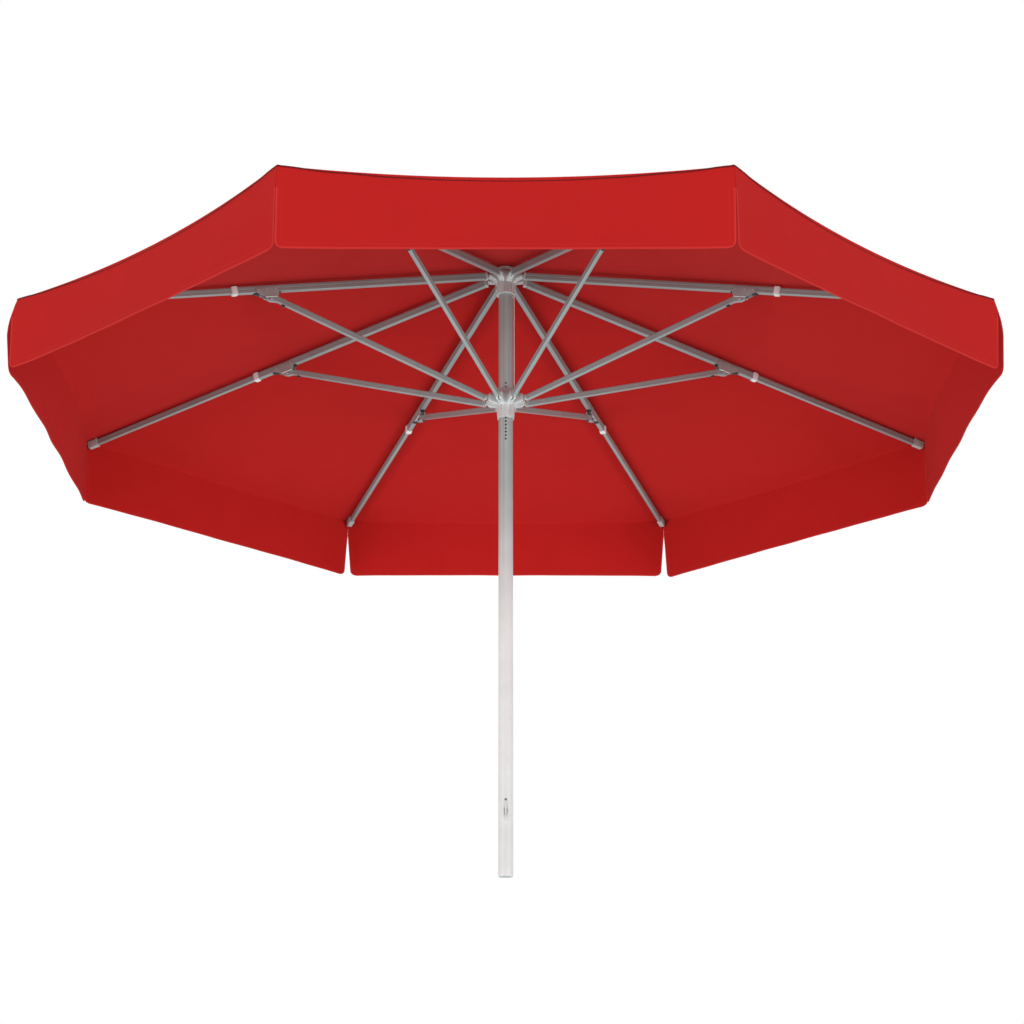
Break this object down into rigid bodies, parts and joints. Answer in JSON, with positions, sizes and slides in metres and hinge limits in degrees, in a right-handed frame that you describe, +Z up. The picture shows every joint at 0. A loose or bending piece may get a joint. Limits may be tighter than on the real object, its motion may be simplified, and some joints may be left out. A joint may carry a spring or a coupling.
{
  "type": "patio umbrella",
  "caption": "Octagonal garden parasol: round mast, hoist cord, sliding runner with braced folding ribs, and a fabric canopy with a hanging valance.",
  "frame": {"origin": "centre of the mast's flat lower end", "axes": "+Z up along the mast; -Y is the side with the row of pin holes and the cord cleat, square to one edge of the octagon"},
  "size_m": [3.7032, 3.7032, 2.5584],
  "materials": {
    "mast_aluminium": "satin anodised",
    "cast_aluminium": "satin cast",
    "rib_aluminium": "satin extruded",
    "sheet_aluminium": "satin sheet",
    "white_plastic": "moulded",
    "black_plastic": "moulded",
    "cord": "braided",
    "canopy_fabric": "woven"
  },
  "bodies": {
    "mast": {"mast_tube": "mast_aluminium", "mast_foot_plug": "black_plastic", "mast_top_plug": "black_plastic", "canopy_top_cap": "white_plastic", "crown_hub": "cast_aluminium", "cord_cleat": "white_plastic", "hoist_cord_inner": "cord", "hoist_cord_outer": "cord"},
    "runner": {"runner_hub": "cast_aluminium"},
    "locking_pin": {"locking_pin": "sheet_aluminium"},
    "cord_eye": {"cord_eye": "sheet_aluminium"},
    "pulley": {"pulley_sheave": "black_plastic"},
    "rib_1": {"rib_tube_1": "rib_aluminium", "rib_tip_1": "rib_aluminium", "strut_bracket_1": "sheet_aluminium", "canopy_gore_1": "canopy_fabric"},
    "strut_1": {"strut_1": "rib_aluminium"},
    "valance_1": {"valance_1": "canopy_fabric"},
    "rib_2": {"rib_tube_2": "rib_aluminium", "rib_tip_2": "rib_aluminium", "strut_bracket_2": "sheet_aluminium", "canopy_gore_2": "canopy_fabric"},
    "strut_2": {"strut_2": "rib_aluminium"},
    "valance_2": {"valance_2": "canopy_fabric"},
    "rib_3": {"rib_tube_3": "rib_aluminium", "rib_tip_3": "rib_aluminium", "strut_bracket_3": "sheet_aluminium", "canopy_gore_3": "canopy_fabric"},
    "strut_3": {"strut_3": "rib_aluminium"},
    "valance_3": {"valance_3": "canopy_fabric"},
    "rib_4": {"rib_tube_4": "rib_aluminium", "rib_tip_4": "rib_aluminium", "strut_bracket_4": "sheet_aluminium", "canopy_gore_4": "canopy_fabric"},
    "strut_4": {"strut_4": "rib_aluminium"},
    "valance_4": {"valance_4": "canopy_fabric"},
    "rib_5": {"rib_tube_5": "rib_aluminium", "rib_tip_5": "rib_aluminium", "strut_bracket_5": "sheet_aluminium", "canopy_gore_5": "canopy_fabric"},
    "strut_5": {"strut_5": "rib_aluminium"},
    "valance_5": {"valance_5": "canopy_fabric"},
    "rib_6": {"rib_tube_6": "rib_aluminium", "rib_tip_6": "rib_aluminium", "strut_bracket_6": "sheet_aluminium", "canopy_gore_6": "canopy_fabric"},
    "strut_6": {"strut_6": "rib_aluminium"},
    "valance_6": {"valance_6": "canopy_fabric"},
    "rib_7": {"rib_tube_7": "rib_aluminium", "rib_tip_7": "rib_aluminium", "strut_bracket_7": "sheet_aluminium", "canopy_gore_7": "canopy_fabric"},
    "strut_7": {"strut_7": "rib_aluminium"},
    "valance_7": {"valance_7": "canopy_fabric"},
    "rib_8": {"rib_tube_8": "rib_aluminium", "rib_tip_8": "rib_aluminium", "strut_bracket_8": "sheet_aluminium", "canopy_gore_8": "canopy_fabric"},
    "strut_8": {"strut_8": "rib_aluminium"},
    "valance_8": {"valance_8": "canopy_fabric"}
  },
  "joints": [
    {"name": "rib_1_fold", "type": "hinge", "parent": "mast", "child": "rib_1", "pos_m": [0.06467, 0.02679, 2.494], "axis": [-0.3827, 0.9239, 0], "range_deg": [0, 73], "deforming": ["canopy_gore_1"]},
    {"name": "strut_1_pivot", "type": "hinge", "parent": "rib_1", "child": "strut_1", "pos_m": [0.93127, 0.38575, 2.227], "axis": [-0.3827, 0.9239, 0], "range_deg": [-146, 0]},
    {"name": "valance_1_hang", "type": "hinge", "parent": "rib_1", "child": "valance_1", "pos_m": [1.84776, 0.76537, 2.058], "axis": [-0.3827, 0.9239, 0], "range_deg": [-73, 0], "deforming": ["valance_1"]},
    {"name": "rib_2_fold", "type": "hinge", "parent": "mast", "child": "rib_2", "pos_m": [0.02679, 0.06467, 2.494], "axis": [-0.9239, 0.3827, 0], "range_deg": [0, 73], "deforming": ["canopy_gore_2"]},
    {"name": "strut_2_pivot", "type": "hinge", "parent": "rib_2", "child": "strut_2", "pos_m": [0.38575, 0.93127, 2.227], "axis": [-0.9239, 0.3827, 0], "range_deg": [-146, 0]},
    {"name": "valance_2_hang", "type": "hinge", "parent": "rib_2", "child": "valance_2", "pos_m": [0.76537, 1.84776, 2.058], "axis": [-0.9239, 0.3827, 0], "range_deg": [-73, 0], "deforming": ["valance_2"]},
    {"name": "rib_3_fold", "type": "hinge", "parent": "mast", "child": "rib_3", "pos_m": [-0.02679, 0.06467, 2.494], "axis": [-0.9239, -0.3827, 0], "range_deg": [0, 73], "deforming": ["canopy_gore_3"]},
    {"name": "strut_3_pivot", "type": "hinge", "parent": "rib_3", "child": "strut_3", "pos_m": [-0.38575, 0.93127, 2.227], "axis": [-0.9239, -0.3827, 0], "range_deg": [-146, 0]},
    {"name": "valance_3_hang", "type": "hinge", "parent": "rib_3", "child": "valance_3", "pos_m": [-0.76537, 1.84776, 2.058], "axis": [-0.9239, -0.3827, 0], "range_deg": [-73, 0], "deforming": ["valance_3"]},
    {"name": "rib_4_fold", "type": "hinge", "parent": "mast", "child": "rib_4", "pos_m": [-0.06467, 0.02679, 2.494], "axis": [-0.3827, -0.9239, 0], "range_deg": [0, 73], "deforming": ["canopy_gore_4"]},
    {"name": "strut_4_pivot", "type": "hinge", "parent": "rib_4", "child": "strut_4", "pos_m": [-0.93127, 0.38575, 2.227], "axis": [-0.3827, -0.9239, 0], "range_deg": [-146, 0]},
    {"name": "valance_4_hang", "type": "hinge", "parent": "rib_4", "child": "valance_4", "pos_m": [-1.84776, 0.76537, 2.058], "axis": [-0.3827, -0.9239, 0], "range_deg": [-73, 0], "deforming": ["valance_4"]},
    {"name": "rib_5_fold", "type": "hinge", "parent": "mast", "child": "rib_5", "pos_m": [-0.06467, -0.02679, 2.494], "axis": [0.3827, -0.9239, 0], "range_deg": [0, 73], "deforming": ["canopy_gore_5"]},
    {"name": "strut_5_pivot", "type": "hinge", "parent": "rib_5", "child": "strut_5", "pos_m": [-0.93127, -0.38575, 2.227], "axis": [0.3827, -0.9239, 0], "range_deg": [-146, 0]},
    {"name": "valance_5_hang", "type": "hinge", "parent": "rib_5", "child": "valance_5", "pos_m": [-1.84776, -0.76537, 2.058], "axis": [0.3827, -0.9239, 0], "range_deg": [-73, 0], "deforming": ["valance_5"]},
    {"name": "rib_6_fold", "type": "hinge", "parent": "mast", "child": "rib_6", "pos_m": [-0.02679, -0.06467, 2.494], "axis": [0.9239, -0.3827, 0], "range_deg": [0, 73], "deforming": ["canopy_gore_6"]},
    {"name": "strut_6_pivot", "type": "hinge", "parent": "rib_6", "child": "strut_6", "pos_m": [-0.38575, -0.93127, 2.227], "axis": [0.9239, -0.3827, 0], "range_deg": [-146, 0]},
    {"name": "valance_6_hang", "type": "hinge", "parent": "rib_6", "child": "valance_6", "pos_m": [-0.76537, -1.84776, 2.058], "axis": [0.9239, -0.3827, 0], "range_deg": [-73, 0], "deforming": ["valance_6"]},
    {"name": "rib_7_fold", "type": "hinge", "parent": "mast", "child": "rib_7", "pos_m": [0.02679, -0.06467, 2.494], "axis": [0.9239, 0.3827, 0], "range_deg": [0, 73], "deforming": ["canopy_gore_7"]},
    {"name": "strut_7_pivot", "type": "hinge", "parent": "rib_7", "child": "strut_7", "pos_m": [0.38575, -0.93127, 2.227], "axis": [0.9239, 0.3827, 0], "range_deg": [-146, 0]},
    {"name": "valance_7_hang", "type": "hinge", "parent": "rib_7", "child": "valance_7", "pos_m": [0.76537, -1.84776, 2.058], "axis": [0.9239, 0.3827, 0], "range_deg": [-73, 0], "deforming": ["valance_7"]},
    {"name": "rib_8_fold", "type": "hinge", "parent": "mast", "child": "rib_8", "pos_m": [0.06467, -0.02679, 2.494], "axis": [0.3827, 0.9239, 0], "range_deg": [0, 73], "deforming": ["canopy_gore_8"]},
    {"name": "strut_8_pivot", "type": "hinge", "parent": "rib_8", "child": "strut_8", "pos_m": [0.93127, -0.38575, 2.227], "axis": [0.3827, 0.9239, 0], "range_deg": [-146, 0]},
    {"name": "valance_8_hang", "type": "hinge", "parent": "rib_8", "child": "valance_8", "pos_m": [1.84776, -0.76537, 2.058], "axis": [0.3827, 0.9239, 0], "range_deg": [-73, 0], "deforming": ["valance_8"]},
    {"name": "runner_level", "type": "hinge", "parent": "strut_1", "child": "runner", "pos_m": [0.06467, 0.02679, 1.96], "axis": [-0.3827, 0.9239, 0], "range_deg": [0, 73]},
    {"name": "cord_eye_drop", "type": "slide", "parent": "mast", "child": "cord_eye", "axis": [0, 0, -1], "range_m": [0, 1.4182], "deforming": ["hoist_cord_outer"]},
    {"name": "locking_pin_push", "type": "slide", "parent": "runner", "child": "locking_pin", "axis": [0, 1, 0], "range_m": [-0.016, 0]},
    {"name": "pulley_spin", "type": "hinge", "parent": "mast", "child": "pulley", "pos_m": [0.017, 0, 2.483], "axis": [0, 1, 0], "continuous": true}
  ],
  "couplings": [
    {"joint": "strut_1_pivot", "follows": "rib_1_fold", "ratio": -2},
    {"joint": "valance_1_hang", "follows": "rib_1_fold", "ratio": -1},
    {"joint": "rib_2_fold", "follows": "rib_1_fold", "ratio": 1},
    {"joint": "strut_2_pivot", "follows": "rib_1_fold", "ratio": -2},
    {"joint": "valance_2_hang", "follows": "rib_1_fold", "ratio": -1},
    {"joint": "rib_3_fold", "follows": "rib_1_fold", "ratio": 1},
    {"joint": "strut_3_pivot", "follows": "rib_1_fold", "ratio": -2},
    {"joint": "valance_3_hang", "follows": "rib_1_fold", "ratio": -1},
    {"joint": "rib_4_fold", "follows": "rib_1_fold", "ratio": 1},
    {"joint": "strut_4_pivot", "follows": "rib_1_fold", "ratio": -2},
    {"joint": "valance_4_hang", "follows": "rib_1_fold", "ratio": -1},
    {"joint": "rib_5_fold", "follows": "rib_1_fold", "ratio": 1},
    {"joint": "strut_5_pivot", "follows": "rib_1_fold", "ratio": -2},
    {"joint": "valance_5_hang", "follows": "rib_1_fold", "ratio": -1},
    {"joint": "rib_6_fold", "follows": "rib_1_fold", "ratio": 1},
    {"joint": "strut_6_pivot", "follows": "rib_1_fold", "ratio": -2},
    {"joint": "valance_6_hang", "follows": "rib_1_fold", "ratio": -1},
    {"joint": "rib_7_fold", "follows": "rib_1_fold", "ratio": 1},
    {"joint": "strut_7_pivot", "follows": "rib_1_fold", "ratio": -2},
    {"joint": "valance_7_hang", "follows": "rib_1_fold", "ratio": -1},
    {"joint": "rib_8_fold", "follows": "rib_1_fold", "ratio": 1},
    {"joint": "strut_8_pivot", "follows": "rib_1_fold", "ratio": -2},
    {"joint": "valance_8_hang", "follows": "rib_1_fold", "ratio": -1},
    {"joint": "runner_level", "follows": "rib_1_fold", "ratio": 1},
    {"joint": "cord_eye_drop", "follows": "rib_1_fold", "m_per_rad": 1.1115}
  ]
}
